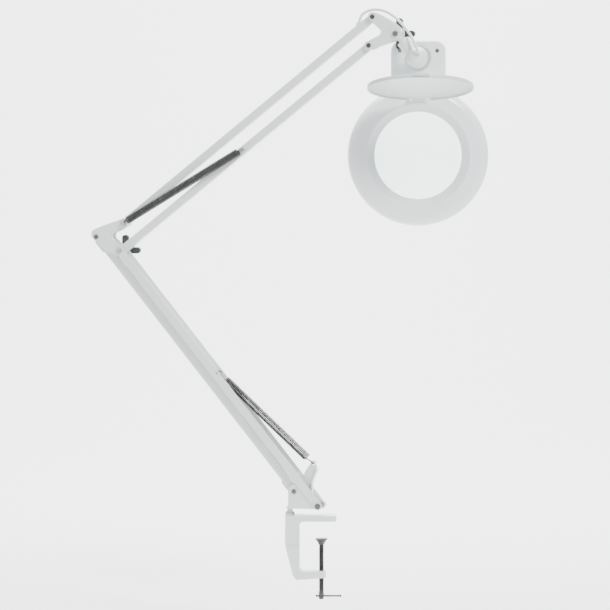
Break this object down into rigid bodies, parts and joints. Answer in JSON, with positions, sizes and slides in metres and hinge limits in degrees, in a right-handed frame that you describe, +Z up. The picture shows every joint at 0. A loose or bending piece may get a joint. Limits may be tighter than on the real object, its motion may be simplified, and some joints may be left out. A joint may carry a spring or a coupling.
{
  "type": "magnifier lamp",
  "caption": "Bench-clamp ring-light magnifier lamp with two spring-balanced parallelogram arms, tilting round head, large lens and flip-up lid.",
  "frame": {"origin": "where the clamp screw's axis meets the flat underside of the clamp's upper jaw, the face that sits on the bench", "axes": "+Z up, along the clamp screw; +X from the clamp's spine out over the bench; -Y the user's side of the lens"},
  "size_m": [0.559, 0.2615, 0.8291],
  "materials": {
    "white_enamel": "slightly greenish white baked enamel",
    "cast_enamel": "white baked enamel over a casting",
    "white_plastic": "glossy cool white moulded plastic",
    "lid_plastic": "glossy white plastic",
    "dark_knob": "dark slate moulded plastic",
    "black_spring": "black japanned spring wire",
    "dark_steel": "blackened steel",
    "bright_steel": "bright nickel plate",
    "dark_rivet": "oiled steel",
    "washer_nylon": "natural nylon",
    "lead_sheath": "soft white sheath",
    "dark_plastic": "dark grey plastic",
    "grey_plastic": "mid grey moulded plastic",
    "optical_glass": "clear polished glass",
    "phosphor_tube": "white coated glass tube",
    "diffuser_sheet": "opal sheet",
    "reflector_paint": "white reflector paint",
    "core_steel": "varnished laminations"
  },
  "bodies": {
    "clamp": {"clamp_frame": "cast_enamel", "swivel_bush": "washer_nylon"},
    "foot": {"pressure_foot": "dark_steel"},
    "screw": {"clamp_screw": "dark_steel"},
    "tommy": {"tommy_bar": "dark_steel"},
    "base": {"swivel_pin": "white_enamel", "base_bracket": "white_enamel", "spring_post": "white_enamel", "base_link_rivet": "dark_rivet", "base_washers": "washer_nylon", "base_bolt": "dark_rivet", "base_nut": "dark_rivet"},
    "lower_arm": {"lower_arm_channel": "white_enamel", "spring_anchor_pin": "bright_steel", "lower_spring": "black_spring"},
    "lower_link": {"lower_arm_link": "white_enamel", "lead_sleeves": "washer_nylon"},
    "elbow": {"elbow_plate_front": "white_enamel", "elbow_plate_rear": "white_enamel", "elbow_rivets": "dark_rivet", "elbow_washers": "washer_nylon", "elbow_bolt": "bright_steel", "spring_screw": "bright_steel"},
    "elbow_knob": {"elbow_knob": "dark_knob"},
    "upper_arm": {"upper_arm_bar": "white_enamel", "spring_stud": "bright_steel", "upper_spring": "black_spring"},
    "upper_link": {"upper_arm_link": "white_enamel", "lead_gland": "lead_sheath"},
    "top": {"top_bracket": "white_enamel", "top_rivets": "dark_rivet", "top_washers": "washer_nylon", "tilt_bolt": "bright_steel", "head_lead": "lead_sheath"},
    "tilt_knob": {"tilt_knob": "dark_knob"},
    "stem": {"tilt_stem": "white_enamel"},
    "knuckle": {"knuckle": "white_enamel", "swivel_nut": "bright_steel"},
    "head": {"swivel_disc": "grey_plastic", "ballast_box_front": "white_plastic", "ballast_box_rear": "white_plastic", "box_screws": "bright_steel", "ballast_choke": "core_steel", "starter": "bright_steel", "head_bridge": "white_plastic", "ring_housing_front": "white_plastic", "ring_housing_rear": "white_plastic", "reflector_tray": "reflector_paint", "lamp_tube": "phosphor_tube", "lamp_base": "washer_nylon", "tube_clips": "bright_steel", "diffuser": "diffuser_sheet", "lens": "optical_glass", "lens_retainer": "dark_plastic", "lid_bracket": "white_plastic", "lid_hinge_pin": "bright_steel", "switch_bezel": "dark_plastic"},
    "lid": {"lid": "lid_plastic"},
    "rocker": {"switch_rocker": "dark_plastic"}
  },
  "joints": [
    {"name": "screw_lift", "type": "slide", "parent": "clamp", "child": "foot", "axis": [0, 0, 1], "range_m": [-0.034, 0.0215]},
    {"name": "screw_spin", "type": "hinge", "parent": "foot", "child": "screw", "pos_m": [0, 0, -0.08], "axis": [0, 0, 1], "range_deg": [-9800, 6200]},
    {"name": "tommy_slide", "type": "slide", "parent": "screw", "child": "tommy", "axis": [1, 0, 0], "range_m": [-0.0228, 0.0025]},
    {"name": "base_swivel", "type": "hinge", "parent": "clamp", "child": "base", "pos_m": [-0.044, 0, 0], "axis": [0, 0, 1], "continuous": true},
    {"name": "lower_arm", "type": "hinge", "parent": "base", "child": "lower_arm", "pos_m": [-0.00214, -0.01044, 0.02252], "axis": [0.2419, 0.9703, 0], "range_deg": [-3, 45], "deforming": ["lower_spring"]},
    {"name": "lower_link", "type": "hinge", "parent": "base", "child": "lower_link", "pos_m": [-0.03589, -0.00202, 0.04228], "axis": [0.2419, 0.9703, 0], "range_deg": [-3.1, 45.1]},
    {"name": "elbow", "type": "hinge", "parent": "lower_arm", "child": "elbow", "pos_m": [-0.2821, 0.05937, 0.37692], "axis": [0.2419, 0.9703, 0], "range_deg": [-45.1, 3.1]},
    {"name": "elbow_knob", "type": "hinge", "parent": "elbow", "child": "elbow_knob", "pos_m": [-0.27775, 0.07683, 0.37692], "axis": [0.2419, 0.9703, 0], "range_deg": [-180, 180]},
    {"name": "upper_arm", "type": "hinge", "parent": "elbow", "child": "upper_arm", "pos_m": [-0.2821, 0.05937, 0.37692], "axis": [0.2419, 0.9703, 0], "range_deg": [-15.1, 65.1], "deforming": ["upper_spring"]},
    {"name": "upper_link", "type": "hinge", "parent": "elbow", "child": "upper_link", "pos_m": [-0.27717, 0.05813, 0.4166], "axis": [0.2419, 0.9703, 0], "range_deg": [-15, 65]},
    {"name": "top_level", "type": "hinge", "parent": "upper_link", "child": "top", "pos_m": [0.07268, -0.02909, 0.70546], "axis": [0.2419, 0.9703, 0], "range_deg": [-65.1, 15.1], "deforming": ["head_lead"]},
    {"name": "tilt_knob", "type": "hinge", "parent": "top", "child": "tilt_knob", "pos_m": [0.10839, -0.02151, 0.68195], "axis": [0.2419, 0.9703, 0], "range_deg": [-180, 180]},
    {"name": "head_tilt", "type": "hinge", "parent": "top", "child": "stem", "pos_m": [0.10452, -0.03703, 0.68195], "axis": [0.2419, 0.9703, 0], "range_deg": [-80, 10]},
    {"name": "head_pan", "type": "hinge", "parent": "stem", "child": "knuckle", "pos_m": [0.13153, -0.04376, 0.649], "axis": [0.6261, -0.1561, -0.7639], "range_deg": [-45, 45]},
    {"name": "head_roll", "type": "hinge", "parent": "knuckle", "child": "head", "pos_m": [0.135, -0.011, 0.649], "axis": [0, 1, 0], "range_deg": [-90, 10]},
    {"name": "lid_hinge", "type": "hinge", "parent": "head", "child": "lid", "pos_m": [0.135, -0.02, 0.592], "axis": [1, 0, 0], "range_deg": [-8, 102.6]},
    {"name": "power_switch", "type": "hinge", "parent": "head", "child": "rocker", "pos_m": [0.135, 0.027, 0.661], "axis": [1, 0, 0], "range_deg": [0, 14]}
  ],
  "couplings": [
    {"joint": "screw_spin", "follows": "screw_lift", "rad_per_m": 5026.5},
    {"joint": "lower_link", "follows": "lower_arm", "ratio": 1},
    {"joint": "elbow", "follows": "lower_arm", "ratio": -1},
    {"joint": "upper_arm", "follows": "upper_link", "ratio": 1},
    {"joint": "top_level", "follows": "upper_link", "ratio": -1}
  ]
}
